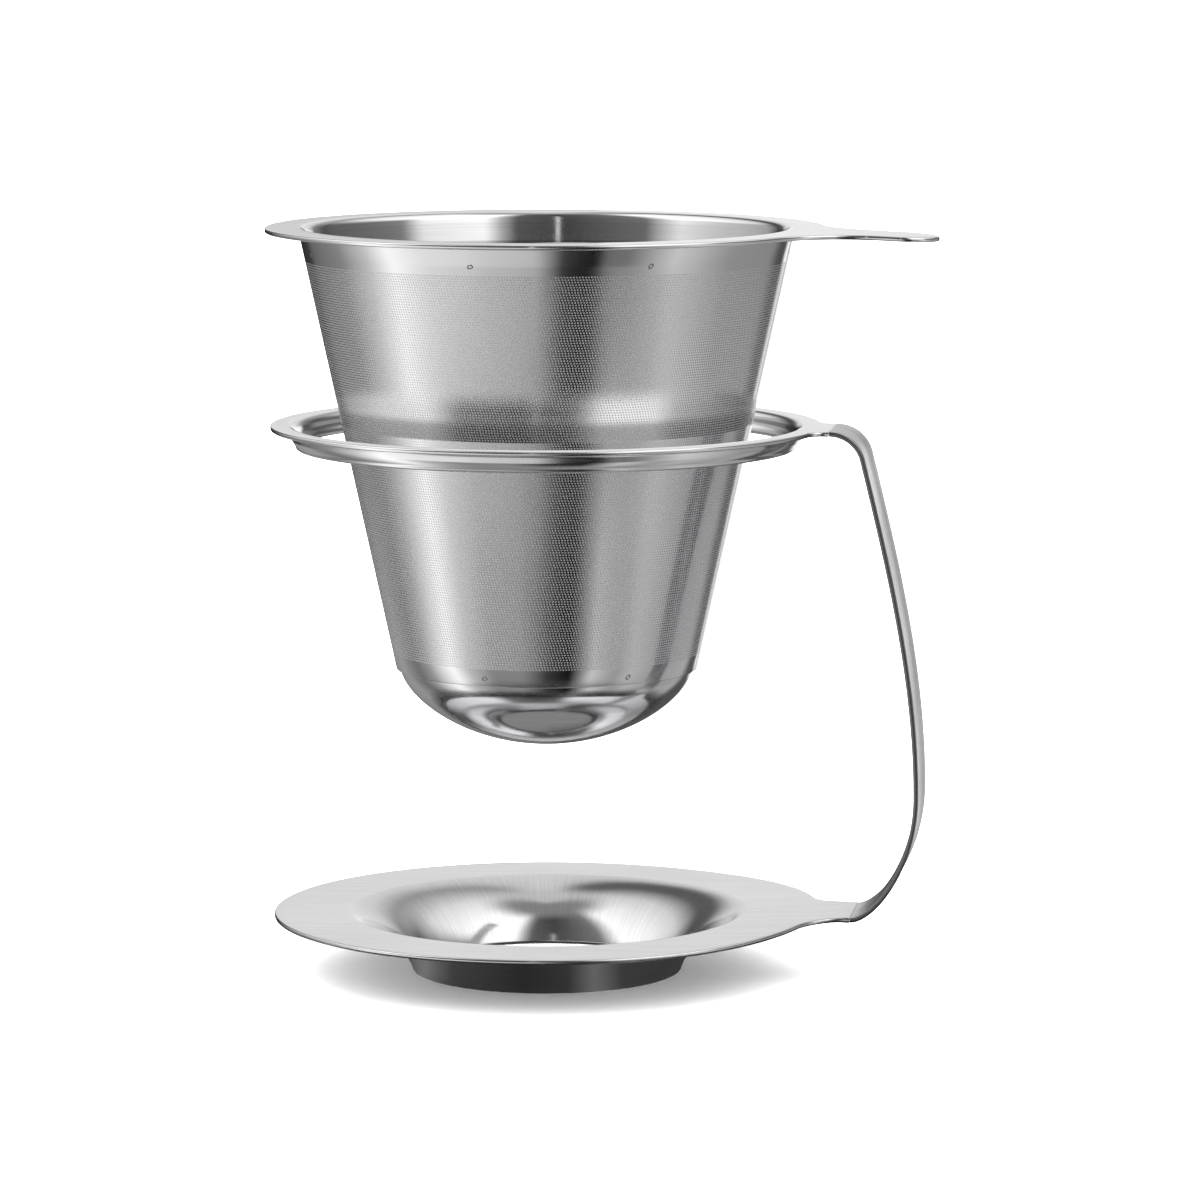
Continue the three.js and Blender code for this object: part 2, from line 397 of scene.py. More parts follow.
def steelBase(name):
    # a bare metal shader, and the place on the piece measured from the dripper's own axis
    material = bpy.data.materials.new(name)
    material.use_nodes = True
    graph = Graph(material.node_tree)
    shader = material.node_tree.nodes["Principled BSDF"]
    shader.inputs["Metallic"].default_value = 1.0
    spot = graph.node("ShaderNodeTexCoord").outputs["Object"]
    fromAxis = graph.vector("SUBTRACT", spot, (axisX, axisY, 0.0))
    return material, graph, shader, fromAxis


def polar(graph, fromAxis):
    x, y, z = graph.split(fromAxis)
    angle = graph.math("ARCTAN2", y, x)
    radius = graph.math("SQRT", graph.plus(graph.times(x, x), graph.times(y, y)))
    return angle, radius, z


def brightSteel(name, settings):  # drawn or turned steel with a fine grain round the axis
    material, graph, shader, fromAxis = steelBase(name)
    angle, radius, z = polar(graph, fromAxis)
    grainX = graph.times(radius, settings["grain"])
    grainY = graph.times(z, settings["grain"])
    grain = graph.noise(graph.join(grainX, grainY, graph.times(angle, 0.6)), 2.4, 2.0)
    smudge = graph.noise(fromAxis, settings["smudge"], 4.0)
    tone = graph.plus(graph.times(grain, 0.5), graph.times(smudge, 0.5))
    base = settings["color"]
    worn = graph.spread(tone, 0.35, 0.7, 0.0, 1.0)
    graph.feed(shader.inputs["Base Color"], graph.mixColor(worn, tint(base), tint(base, 0.9)))
    rough = settings["roughness"]
    graph.feed(shader.inputs["Roughness"], graph.spread(tone, 0.3, 0.75, rough * 0.8, rough * 1.3))
    graph.feed(shader.inputs["Normal"], graph.bump(grain, 0.10, 0.02 * mm))
    return material


etching = {
    "pitch": 0.60 * mm,       # between holes in a row
    "rowPitch": 0.52 * mm,
    "holeRadius": 0.18 * mm,
    "topBand": 6.6 * mm,      # plain sheet above the first row, from the top of the rim
    "bottomBand": 3.6 * mm,   # plain sheet below the last row
    "roughness": 0.12,
    "color": (0.76, 0.76, 0.77),
    "holeColor": (0.62, 0.62, 0.63),
    "holeRoughness": 0.4,     # added in the holes
}
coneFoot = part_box("outer_cone")[0].z
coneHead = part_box("outer_cone")[1].z


def etchedSheet():
    # staggered rows of round holes that run round the cone at a constant pitch
    material, graph, shader, fromAxis = steelBase("etchedSteelSheet")
    angle, _, z = polar(graph, fromAxis)
    pitch, rowPitch = etching["pitch"], etching["rowPitch"]
    depth = graph.minus(rimTop, z)
    along = graph.math("DIVIDE", graph.times(depth, coneStretch), rowPitch)
    row = graph.math("FLOOR", along)
    dz = graph.times(graph.minus(graph.minus(along, row), 0.5), rowPitch)
    rowDrop = rowPitch * math.sin(math.radians(cone["angle"]))
    rowRadius = graph.minus(cone["topRadius"], graph.times(row, rowDrop))
    holes = graph.math("ROUND", graph.times(rowRadius, 2 * math.pi / pitch))
    stagger = graph.times(graph.math("MODULO", row, 2.0), 0.5)
    turnPart = graph.math("DIVIDE", angle, 2 * math.pi)
    # the whole turns added keep the count positive
    count = graph.plus(graph.times(turnPart, holes), graph.plus(stagger, 2000.0))
    dx = graph.times(graph.minus(graph.math("FRACT", count), 0.5), pitch)
    away = graph.math("SQRT", graph.plus(graph.times(dx, dx), graph.times(dz, dz)))
    size = etching["holeRadius"]
    hole = graph.spread(away, size * 0.8, size * 1.2, 1.0, 0.0)
    lastRow = rimTop - coneFoot - etching["bottomBand"]
    belowTop = graph.math("GREATER_THAN", depth, etching["topBand"])
    hole = graph.times(hole, graph.times(belowTop, graph.math("LESS_THAN", depth, lastRow)))
    smudge = graph.noise(fromAxis, 30.0, 4.0)
    sheetTone = graph.mixColor(smudge, tint(etching["color"]), tint(etching["color"], 0.9))
    graph.feed(shader.inputs["Base Color"], graph.mixColor(hole, sheetTone, tint(etching["holeColor"])))
    rough = etching["roughness"]
    smooth = graph.spread(smudge, 0.3, 0.7, rough * 0.85, rough * 1.2)
    inHole = graph.times(hole, etching["holeRoughness"])
    graph.feed(shader.inputs["Roughness"], graph.plus(smooth, inHole))
    return material


weave = {"pitch": 0.25 * mm, "radius": 40 * mm, "color": (0.42, 0.42, 0.43), "roughness": 0.45}


def fineMesh():  # the wires' pitch is true at one middling radius of the cone
    material, graph, shader, fromAxis = steelBase("fineSteelMesh")
    angle, _, z = polar(graph, fromAxis)
    turns = 2 * math.pi / weave["pitch"]
    u = graph.math("SINE", graph.times(angle, weave["radius"] * turns))
    v = graph.math("SINE", graph.times(z, turns))
    wires = graph.times(graph.plus(graph.times(u, v), 1.0), 0.5)
    base = weave["color"]
    graph.feed(shader.inputs["Base Color"], graph.mixColor(wires, tint(base, 0.45), tint(base)))
    graph.feed(shader.inputs["Roughness"], graph.spread(wires, 0.0, 1.0, 0.65, weave["roughness"]))
    graph.feed(shader.inputs["Normal"], graph.bump(wires, 0.4, 0.08 * mm))
    return material


satin = {
    "color": (0.78, 0.78, 0.79),
    "roughness": 0.13,
    "scratches": 90.0,        # round the funnel
    "funnelEdge": 37 * mm,    # radius where the scratches start to give way to the brushing
    "flatStart": 44 * mm,
}


def satinPlate():  # scratches run down the drawn funnel, and brushing runs along the flat
    material, graph, shader, fromAxis = steelBase("satinPlateSteel")
    angle, radius, z = polar(graph, fromAxis)
    roundIt = graph.times(angle, satin["scratches"])
    down = graph.join(roundIt, graph.times(radius, 60.0), graph.times(z, 60.0))
    scratch = graph.noise(down, 1.0, 4.0, 0.7)
    fine = graph.noise(fromAxis, 1400.0, 2.0)
    cloud = graph.noise(fromAxis, 22.0, 3.0)
    brushed = graph.noise(graph.vector("MULTIPLY", fromAxis, (40.0, 900.0, 40.0)), 1.0, 4.0, 0.7)
    flatPart = graph.spread(radius, satin["funnelEdge"], satin["flatStart"], 0.0, 1.0)
    lines = graph.mixColor(flatPart, scratch, brushed)
    tone = graph.plus(graph.times(lines, 0.45), graph.times(cloud, 0.55))
    base = satin["color"]
    worn = graph.spread(tone, 0.3, 0.7, 0.0, 1.0)
    graph.feed(shader.inputs["Base Color"], graph.mixColor(worn, tint(base), tint(base, 0.8)))
    rough = satin["roughness"]
    graph.feed(shader.inputs["Roughness"], graph.spread(tone, 0.3, 0.7, rough * 0.85, rough * 1.15))
    normal = graph.bump(lines, 0.08, 0.04 * mm)
    graph.feed(shader.inputs["Normal"], graph.bump(fine, 0.12, 0.02 * mm, normal))
    return material


brushing = {
    # darker than the plate's steel: painted shade for the arm's faces, which look down and away from
    # the light; the brushing itself is the real finish
    "color": (0.52, 0.52, 0.53),
    "edge": 0.36,             # painted shade on the cut edges, as a share of the colour
    "roughness": 0.24,
    "streaks": 2600.0,        # across the strip
}


def brushedStrip():  # streaks run along the arm, and its cut edges carry painted shade
    material, graph, shader, fromAxis = steelBase("brushedStripSteel")
    x, y, z = graph.split(fromAxis)
    across = graph.join(graph.times(x, 40.0), graph.times(y, brushing["streaks"]), graph.times(z, 40.0))
    streak = graph.noise(across, 1.0, 4.0, 0.6)
    cloud = graph.noise(fromAxis, 45.0, 3.0)
    tone = graph.plus(graph.times(streak, 0.6), graph.times(cloud, 0.4))
    base = brushing["color"]
    worn = graph.spread(tone, 0.35, 0.65, 0.0, 1.0)
    face = graph.mixColor(worn, tint(base), tint(base, 0.6))
    fromMiddle = graph.math("ABSOLUTE", y)
    # painted shade: the cut edges are coloured darker for how they face the light
    cut = graph.spread(fromMiddle, armHalf - 0.3 * mm, armHalf - 0.12 * mm, 0.0, 1.0)
    graph.feed(shader.inputs["Base Color"], graph.mixColor(cut, face, tint(base, brushing["edge"])))
    rough = brushing["roughness"]
    graph.feed(shader.inputs["Roughness"], graph.spread(tone, 0.3, 0.7, rough * 0.8, rough * 1.3))
    graph.feed(shader.inputs["Normal"], graph.bump(streak, 0.25, 0.05 * mm))
    return material


# colour, roughness, and the fineness of the grain and of the smudges, of each bright finish
polish = {"color": (0.80, 0.80, 0.81), "roughness": 0.09, "grain": 900.0, "smudge": 26.0}
cupPolish = {"color": (0.72, 0.72, 0.73), "roughness": 0.13, "grain": 500.0, "smudge": 20.0}
lipPolish = {"color": (0.80, 0.80, 0.81), "roughness": 0.13, "grain": 700.0, "smudge": 40.0}
spotBurn = {"color": (0.26, 0.25, 0.25), "roughness": 0.34, "grain": 900.0, "smudge": 900.0}
rimSteel = brightSteel("polishedRimSteel", polish)
cupSteel = brightSteel("brightCupSteel", cupPolish)
lipSteel = brightSteel("pressedRingSteel", lipPolish)
spotSteel = brightSteel("weldedSpotSteel", spotBurn)
etchedSteel = etchedSheet()
meshSteel = fineMesh()
plateSteel = satinPlate()
stripSteel = brushedStrip()
print("materials ready")


rim = {
    "thickness": 1.0 * mm,
    "rounding": 1.7 * mm,
    "collar": 7.0 * mm,
    "tabHalf": 7.75 * mm,
    "tabFillet": 20 * mm,
    "tabLength": 24.4 * mm,  # past the edge of the rim
    "tabDroop": 0.7 * mm,    # at the tab's end
}


def makeRim():
    radius = halfDepth("filter_rim")
    inset = cone["sheet"] + cone["gap"] + rim["thickness"]
    lean = cone["angle"]
    low = rimTop - rim["rounding"]
    centreR = coneRadius(low, inset) + rim["rounding"] * coneStretch
    path = [(centreR + 1.5 * mm, 0.0)]
    path += arc(centreR, -rim["rounding"], rim["rounding"], 90, 180 - lean, 12)
    path += straight(path[-1], (coneRadius(rimTop - rim["collar"], inset), -rim["collar"]), 5)
    reach = radius + rim["tabLength"]
    outline = plateOutline(radius, rim["tabHalf"], rim["tabFillet"], reach, True, 24)

    def droop(x, y):
        t = max(0.0, (x - radius) / (reach - radius))
        return -rim["tabDroop"] * t * t

    thickness = rim["thickness"]
    piece = stampedPlate("filterRim", outline, path, thickness, rimTop, tabAngle, rimSteel, droop)
    return place(piece, "filter", "filter_rim")


def makeCone():
    path = [(coneRadius(coneHead), coneHead)]
    path += straight(path[-1], (coneRadius(coneFoot), coneFoot), 24)
    path = path[::-1]  # so that the thickness lies inside
    piece = turned("etchedCone", sheetLoop(path, cone["sheet"]), etchedSteel)
    return place(piece, "filter", "outer_cone")


lap = {
    "width": 9.5 * mm,
    "proud": 0.28 * mm,   # outer face, out from the sheet
    "sunk": 0.1 * mm,     # hidden face, in the sheet
    "short": 0.2 * mm,    # of the sheet, at the top and at the foot
}


def makeLap():
    # the plain overlapped edge of the rolled sheet, a thin strip down the cone under the tab
    top = coneHead - lap["short"]
    foot = coneFoot + lap["short"]
    across = [lap["width"] * (k / 12 - 0.5) for k in range(13)]
    section = [(s, lap["proud"]) for s in across] + [(-s, -lap["sunk"]) for s in across]
    columns = []
    steps = 40
    for i in range(steps + 1):
        z = top + (foot - top) * i / steps
        r = coneRadius(z)
        columns.append([around(r + h, lapAngle + s / r, z) for s, h in section])
    piece = spun("coneLap", columns, rimSteel, closed=False)
    return place(piece, "filter")


linerThickness = 0.3 * mm


def makeLiner():
    low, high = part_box("mesh_liner")
    inset = cone["sheet"] + cone["gap"]
    path = [(coneRadius(low.z, inset), low.z)]
    path += straight(path[-1], (coneRadius(high.z, inset), high.z), 20)
    piece = turned("meshLiner", sheetLoop(path, linerThickness, 3), meshSteel, 256)
    return place(piece, "filter", "mesh_liner")


cup = {"thickness": 0.6 * mm, "knuckle": 7 * mm, "crown": 16 * mm}


def makeCup():
    low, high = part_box("bottom_cup")
    inset = cone["sheet"] + cone["gap"]
    edge = (coneRadius(coneFoot, inset), coneFoot)
    tx, tz = unit(-coneSlope, -1)
    knuckle = (edge[0] + tx * cup["knuckle"], edge[1] + tz * cup["knuckle"])
    dome = bezier(edge, knuckle, (cup["crown"], low.z), (0.0, low.z), 40)
    top = (coneRadius(high.z, inset), high.z)
    path = [top] + straight(top, edge, 4) + dome[1:]
    back = []
    for i, (r, z) in enumerate(path):
        n, stretch = sideways(path, i)
        wall = cup["thickness"] / stretch
        back.append((max(r - n[0] * wall, 0.0), z - n[1] * wall))
    back[-1] = (0.0, low.z + cup["thickness"])
    piece = turned("bottomCup", path + back[::-1], cupSteel)
    return place(piece, "filter", "bottom_cup")


welds = {
    "size": 0.6 * mm,
    "upper": (-57, -99, -154, 162, 117, 72, 27, -12),   # degrees round the axis
    "lower": (-50, -105, -163, 140, 82, 20),
    "upperDrop": 3.9 * mm,   # below the rim's underside
    "lowerRise": 1.7 * mm,   # above the sheet's lower edge
}


def makeWelds(name, angles, z):
    # each spot is a low uneven ring round a small crater
    bm = bmesh.new()
    lean = math.radians(cone["angle"])
    profile = ((1.0, -0.04), (0.85, 0.03), (0.68, 0.045), (0.5, 0.02), (0.3, -0.09), (0.12, -0.14))
    count = 20
    for spot, degrees in enumerate(angles):
        a = math.radians(degrees)
        outward = Vector((math.cos(a) * math.cos(lean), math.sin(a) * math.cos(lean), -math.sin(lean)))
        side = Vector((-math.sin(a), math.cos(a), 0))
        up = outward.cross(side)
        centre = Vector(around(coneRadius(z), a, z))
        rings = []
        for share, lift in profile:  # share of the spot's size, and height in mm over the sheet
            ring = []
            for k in range(count):
                t = 2 * math.pi * k / count
                uneven = 1 + 0.22 * math.sin(2 * t + spot) + 0.1 * math.sin(5 * t + 2 * spot)
                s = share * welds["size"] * uneven
                point = centre + side * (s * math.cos(t)) + up * (s * math.sin(t))
                ring.append(bm.verts.new(point + outward * (lift * mm)))
            rings.append(ring)
        for first, second in zip(rings, rings[1:]):
            for k in range(count):
                n = (k + 1) % count
                bm.faces.new((first[k], first[n], second[n], second[k]))
        bm.faces.new(rings[-1])
        bm.faces.new(rings[0][::-1])
    bmesh.ops.recalc_face_normals(bm, faces=bm.faces)
    mesh = bpy.data.meshes.new(name)
    bm.to_mesh(mesh)
    bm.free()
    mesh.shade_smooth()
    piece = bpy.data.objects.new(name, mesh)
    bpy.context.scene.collection.objects.link(piece)
    mesh.materials.append(spotSteel)
    return place(piece, "filter")


for piece in (makeRim(), makeCone(), makeLap(), makeLiner(), makeCup()):
    piece.visible_glossy = False  # their mirror image in the base plate is left out
makeWelds("upperWelds", welds["upper"], rimTop - rim["thickness"] - welds["upperDrop"])
makeWelds("lowerWelds", welds["lower"], coneFoot + welds["lowerRise"])
print("filter ready")


stand = {
    "thickness": 1.0 * mm,
    "joint": 0.15 * mm,      # half the gap at each joint with the arm
    "tongue": 0.3 * mm,      # straight part of a tongue, after its fillets
}
ring = {
    "fillet": 3.5 * mm,
    "rounding": 1.8 * mm,
    "lipInset": 0.8 * mm,
    "clearance": 0.8 * mm,   # from the seated cone to the lower lip
    "upperWall": 2.6 * mm,
    "bevel": 1.3 * mm,
}


def tongueEnd(radius, fillet):  # from the axis to the joint with the arm
    filletX = math.sqrt((radius + fillet) ** 2 - (armHalf + fillet) ** 2)
    return filletX + stand["tongue"] + stand["joint"]


def makeRing():
    radius = halfDepth("support_ring")
    seated = rimTop - ring["upperWall"] - ring["bevel"] - stand["thickness"]
    lipR = coneRadius(seated) + ring["clearance"]
    wallR = lipR + ring["lipInset"]
    centreR = wallR + ring["rounding"]
    lipDepth = ringTop - ringFoot
    path = [(centreR + 1.0 * mm, 0.0)]
    path += arc(centreR, -ring["rounding"], ring["rounding"], 90, 180, 12)
    path += straight(path[-1], (wallR, -ring["upperWall"]), 2)
    path += straight(path[-1], (lipR, -ring["upperWall"] - ring["bevel"]), 2)
    path += straight(path[-1], (lipR, -lipDepth), 2)
    outline = plateOutline(radius, armHalf, ring["fillet"], tongueEnd(radius, ring["fillet"]), False, 3)
    piece = stampedPlate("supportRing", outline, path, stand["thickness"], ringTop, 0.0, lipSteel)
    return place(piece, "stand", "support_ring")


base = {
    "fillet": 10 * mm,
    "funnel": 41.5 * mm,
    "throat": 26.8 * mm,
    "knee": 0.2,             # share of the way to the throat where the bell curve bends down
    "flare": (0.14, 0.43),   # the curve's lower handle, out from the throat and down, in depths
    "turnUp": 1.4 * mm,
}


def turnedUp(x, y):  # the plate rises a little towards the arm
    return base["turnUp"] * min(max(x / (40 * mm) - 0.5, 0.0), 1.0) ** 2


def makeBase():
    radius = halfDepth("base_plate")
    depth = plateTop - plateFoot
    funnel, throat = base["funnel"], base["throat"]
    knee = between((funnel, 0.0), (throat, 0.0), base["knee"])
    out, down = base["flare"]
    flare = (throat + out * depth, -down * depth)
    bell = bezier((funnel, 0.0), knee, flare, (throat, -depth), 40)
    path = [(funnel + 1.5 * mm, 0.0)] + bell
    outline = plateOutline(radius, armHalf, base["fillet"], tongueEnd(radius, base["fillet"]), False, 3)
    thickness = stand["thickness"]
    piece = stampedPlate("basePlate", outline, path, thickness, plateTop, 0.0, plateSteel, turnedUp)
    return place(piece, "stand", "base_plate")


arm = {
    "topBend": 7.5 * mm,
    "lean": 76.0,          # degrees, where the handle leaves the top bend
    "bulge": 38.5 * mm,    # height of the fullest point
    "sag": (0.55, 0.2),    # the lower bend's handles, down and along, in shares of its own drop
    "groove": 0.35 * mm,   # depth of the long hollow down the middle of the strip
    "grooveFade": 9 * mm,  # over this length the hollow dies out towards each end
}


def armPath():
    # down the outside of the arm: the top bend, the handle to its fullest point, and the lower bend
    ringEnd = tongueEnd(halfDepth("support_ring"), ring["fillet"])
    baseEnd = tongueEnd(halfDepth("base_plate"), base["fillet"])
    lean = math.radians(arm["lean"])
    bendR = arm["topBend"]
    start = (ringEnd, ringTop)
    end = (baseEnd, plateTop - stand["thickness"] + base["turnUp"])
    shoulder = (ringEnd + math.sin(lean) * bendR, ringTop + (math.cos(lean) - 1) * bendR)
    fullest = (armHigh.x - axisX, arm["bulge"])
    handle = math.dist(shoulder, fullest) / 3
    tangent = bendR * 4 / 3 * math.tan(lean / 4)
    drop = fullest[1] - end[1]

    def alongLean(distance):  # a point on the line that the handle leaves the top bend along
        return shoulder[0] + math.cos(lean) * distance, shoulder[1] - math.sin(lean) * distance

    path = bezier(start, (start[0] + tangent, start[1]), alongLean(-tangent), shoulder, 24)
    aboveFullest = (fullest[0], fullest[1] + handle)
    path += bezier(shoulder, alongLean(handle), aboveFullest, fullest, 40)[1:]
    down, along = arm["sag"]
    belowFullest = (fullest[0], fullest[1] - down * drop)
    path += bezier(fullest, belowFullest, (end[0] + along * drop, end[1]), end, 40)[1:]
    return path


def stripSection(hollow):
    # round the strip: its outer face, one cut edge, its inner face and the other cut edge
    thickness = stand["thickness"]
    flat = armHalf - cutEdge
    steps = 18
    across = [2 * k / steps - 1 for k in range(steps + 1)]
    edge = [edgeRounding(thickness, 90 - 180 * k / 6) for k in range(1, 6)]
    otherEdge = edge[::-1]
    otherEdge[2] = (0.0, cutEdge - thickness)  # its middle point lies at the foot of its flat part
    section = [(s * flat, -hollow * (1 - s * s) ** 2) for s in across]
    section += [(armHalf - inset, h) for inset, h in edge]
    section += [(-s * flat, -thickness - hollow * (1 - s * s) ** 2) for s in across]
    section += [(inset - armHalf, h) for inset, h in otherEdge]
    return section


def makeArm():
    path = armPath()
    total = sum(math.dist(a, b) for a, b in zip(path, path[1:]))
    columns = []
    travelled = 0.0
    for i, (r, z) in enumerate(path):
        if i:
            travelled += math.dist(path[i - 1], path[i])
        (nr, nz), _ = sideways(path, i)
        if i in (0, len(path) - 1):  # square to the tongues
            nr, nz = 0.0, 1.0 if i == 0 else -1.0
        fade = min(travelled, total - travelled) / arm["grooveFade"]
        section = stripSection(arm["groove"] * min(1.0, max(0.0, fade)) ** 2)
        columns.append([(axisX + r + nr * h, axisY + y, z + nz * h) for y, h in section])
    piece = spun("standArm", columns, stripSteel, closed=False)
    return place(piece, "stand", "arm")


makeRing().visible_glossy = False  # its flat top has a stand-in, which only the cone mirrors
makeBase()
makeArm()
print("stand ready")


studio = {
    "cameraTurn": 8.0,     # degrees round from the front, towards the arm
    "distance": 1.186,     # from the axis, along the floor
    "aside": 0.011,        # to the right of the axis
    "above": 0.077,        # above the rim
    "pitch": 7.4,
    "lens": 174.0,
    "floorSize": 80,
    "floorColor": (0.93, 0.93, 0.93),
    "floorDrop": 0.2 * mm,
    "lampSize": 2.4,
    "lampHeight": 2.0,
    "lampPower": 4,
}
cameraTurn = math.radians(studio["cameraTurn"])


def makeCamera():
    right = Vector((math.cos(cameraTurn), math.sin(cameraTurn), 0))
    towards = Vector((math.sin(cameraTurn), -math.cos(cameraTurn), 0))
    cameraData = bpy.data.cameras.new("camera")
    cameraData.sensor_width = 36
    cameraData.lens = studio["lens"]
    cameraData.clip_start = 0.01
    camera = bpy.data.objects.new("camera", cameraData)
    bpy.context.scene.collection.objects.link(camera)
    overAxis = Vector((axisX, axisY, rimTop + studio["above"]))
    camera.location = overAxis + right * studio["aside"] + towards * studio["distance"]
    camera.rotation_euler = (math.radians(90 - studio["pitch"]), 0, cameraTurn)
    bpy.context.scene.camera = camera
    bpy.context.scene.view_settings.view_transform = "Standard"


def plainShader(name):  # a new dull material, its graph and its shader
    material = bpy.data.materials.new(name)
    material.use_nodes = True
    return material, Graph(material.node_tree), material.node_tree.nodes["Principled BSDF"]


def makeFloor():
    level = plateFoot - studio["floorDrop"]
    bpy.ops.mesh.primitive_plane_add(size=studio["floorSize"], location=(0, 0, level))
    floor = bpy.context.object
    floor.name = "floor"
    material, _, shader = plainShader("paleFloor")
    shader.inputs["Base Color"].default_value = tint(studio["floorColor"])
    shader.inputs["Roughness"].default_value = 0.9
    shader.inputs["Specular IOR Level"].default_value = 0.1
    floor.data.materials.append(material)
    floor.visible_glossy = False


# brightness of the cards round the object against the angle from the camera, left to right;
# the upper row is what the top of the cone sees and the lower row what its foot sees
upperCards = (
    (-180, 0.0), (-150, 0.05), (-145, 0.15), (-115, 0.3), (-95, 0.7), (-80, 1.3), (-60, 1.0),
    (-40, 0.9), (-25, 0.75), (-5, 0.65), (8, 0.05), (25, 0.0), (30, 0.2), (40, 0.2),
    (65, 0.75), (85, 0.5), (100, 0.35), (135, 0.3), (145, 0.1), (180, 0.0),
)
lowerCards = (
    (-180, 0.2), (-145, 0.4), (-120, 0.2), (-105, 0.4), (-80, 1.4), (-65, 0.65), (-45, 0.3),
    (-20, 0.3), (0, 0.05), (20, 0.0), (28, 0.25), (38, 0.75), (50, 0.5), (60, 0.4),
    (72, 0.6), (98, 0.4), (135, 0.5), (145, 0.1), (180, 0.1),
)

# brightness of the soft boxes above the object, the same way round
softBoxes = (
    (-180, 0.85), (-172, 0.75), (-164, 0.1), (-155, 0.1), (-138, 0.85), (-110, 1.2), (-72, 1.5),
    (-52, 0.2), (-10, 0.05), (16, 0.1), (24, 0.6), (32, 1.5), (75, 1.5), (130, 0.95),
    (157, 0.35), (168, 0.75), (180, 0.85),
)

# the rest of what the metal sees: brightness, and heights above the horizon in degrees
sky = {
    "backdrop": 4.0,              # what everything but the metal sees
    "bow": 24.0,                  # how far the line between the rows of cards drops at the sides
    "rows": (-31.8, -28.6),       # where the lower row gives way to the upper
    "rail": 1.1,                  # a bright rail far round to the right picks out the lap
    "railAngle": (154, 160),
    "railHeight": (-17, -13),
    "under": 0.3,                 # dim and even below
    "underHeight": (-68, -40),
    "horizon": (-2.0, 6.0),       # where the cards give way to the soft boxes
    "slit": 0.8,                  # a narrow gap of light in the dark between the boxes
    "slitHeight": (36, 42),
    "corner": 0.75,               # how much of the right box's lower corner is masked off
    "cornerHeight": (18, 42),
    "low": 0.5,                   # how far the boxes fade towards the table, except behind
    "lowHeight": (12, 26),
    "ceiling": (0.28, 0.7),       # in front and behind
    "ceilingHeight": (64, 78),
}


def asStops(row):  # angles from -180 to 180 degrees as shares of the whole turn, for a ramp
    return [((angle + 180) / 360, brightness) for angle, brightness in row]


def makeStudio():
    # what the metal sees all round it; the floor and the background see plain white
    world = bpy.data.worlds.new("studio")
    bpy.context.scene.world = world
    world.use_nodes = True
    graph = Graph(world.node_tree)
    background = world.node_tree.nodes["Background"]
    x, y, z = graph.split(graph.node("ShaderNodeTexCoord").outputs["Generated"])
    sine, cosine = math.sin(cameraTurn), math.cos(cameraTurn)
    right = graph.plus(graph.times(x, cosine), graph.times(y, sine))
    towards = graph.minus(graph.times(x, sine), graph.times(y, cosine))
    radians = graph.math("ARCTAN2", right, towards)
    degrees = graph.math("DIVIDE", radians, math.pi / 180)
    fromFront = graph.math("ABSOLUTE", degrees)
    height = graph.math("DIVIDE", graph.math("ARCSINE", z), math.pi / 180)
    turnShare = graph.spread(degrees, -180, 180, 0, 1, smooth=False)

    # below the horizon: two rows of cards, whose meeting line drops towards the sides
    upperRow = graph.ramp(turnShare, asStops(upperCards))
    lowerRow = graph.ramp(turnShare, asStops(lowerCards))
    bow = graph.times(graph.math("COSINE", graph.times(radians, 0.5)), sky["bow"])
    level = graph.plus(graph.minus(height, sky["bow"]), bow)
    lowerPart = graph.spread(level, *sky["rows"], 1.0, 0.0, smooth=False)
    cards = graph.mixColor(lowerPart, upperRow, lowerRow)
    railPart = graph.spread(height, *sky["railHeight"], 0, 1)
    rail = graph.times(graph.spread(degrees, *sky["railAngle"], 0, sky["rail"]), railPart)
    cards = graph.math("MAXIMUM", cards, rail)
    nadir = graph.spread(height, *sky["underHeight"], 1.0, 0.0)
    below = graph.mixColor(nadir, cards, tint((sky["under"],) * 3))

    # above it: soft boxes left and right, a pale wall behind and a dull ceiling
    boxes = graph.ramp(turnShare, asStops(softBoxes))
    slit = graph.times(graph.window(degrees, -7, -6, -5, -4), sky["slit"])
    slit = graph.times(slit, graph.spread(height, *sky["slitHeight"], 1, 0))
    corner = graph.times(graph.window(degrees, 64, 80, 140, 156), sky["corner"])
    corner = graph.times(corner, graph.spread(height, *sky["cornerHeight"], 1, 0))
    walls = graph.times(graph.plus(boxes, slit), graph.minus(1.0, corner))
    low = graph.spread(fromFront, 150, 165, sky["low"], 0)
    low = graph.times(low, graph.spread(height, *sky["lowHeight"], 1, 0))
    walls = graph.times(walls, graph.minus(1.0, low))
    ceiling = graph.spread(fromFront, 100, 150, *sky["ceiling"])
    above = graph.mixColor(graph.spread(height, *sky["ceilingHeight"], 0.0, 1.0), walls, ceiling)

    blend = graph.spread(height, *sky["horizon"], 0.0, 1.0)
    seen = graph.plus(graph.times(above, blend), graph.times(below, graph.minus(1.0, blend)))
    glossy = graph.node("ShaderNodeLightPath").outputs["Is Glossy Ray"]
    graph.feed(background.inputs["Color"], graph.mixColor(glossy, tint((sky["backdrop"],) * 3), seen))
    background.inputs["Strength"].default_value = 1.0


def flatCard(name, inner, outer, z):
    # a flat band round the axis that the metal alone sees
    points = []
    faces = []
    count = 96
    for i in range(count):
        a = 2 * math.pi * i / count
        points.append(around(inner, a, z))
        points.append(around(outer, a, z))
        n = (i + 1) % count
        faces.append((2 * i, 2 * i + 1, 2 * n + 1, 2 * n))
    mesh = bpy.data.meshes.new(name)
    mesh.from_pydata(points, [], faces)
    card = bpy.data.objects.new(name, mesh)
    bpy.context.scene.collection.objects.link(card)
    card.visible_camera = False
    card.visible_diffuse = False
    card.visible_shadow = False
    card.visible_transmission = False
    return card


shade = {
    "inner": 24 * mm,
    "fade": 70 * mm,       # radius where the shade starts to thin out
    "outer": 105 * mm,
    "below": 0.3 * mm,     # under the foot
}
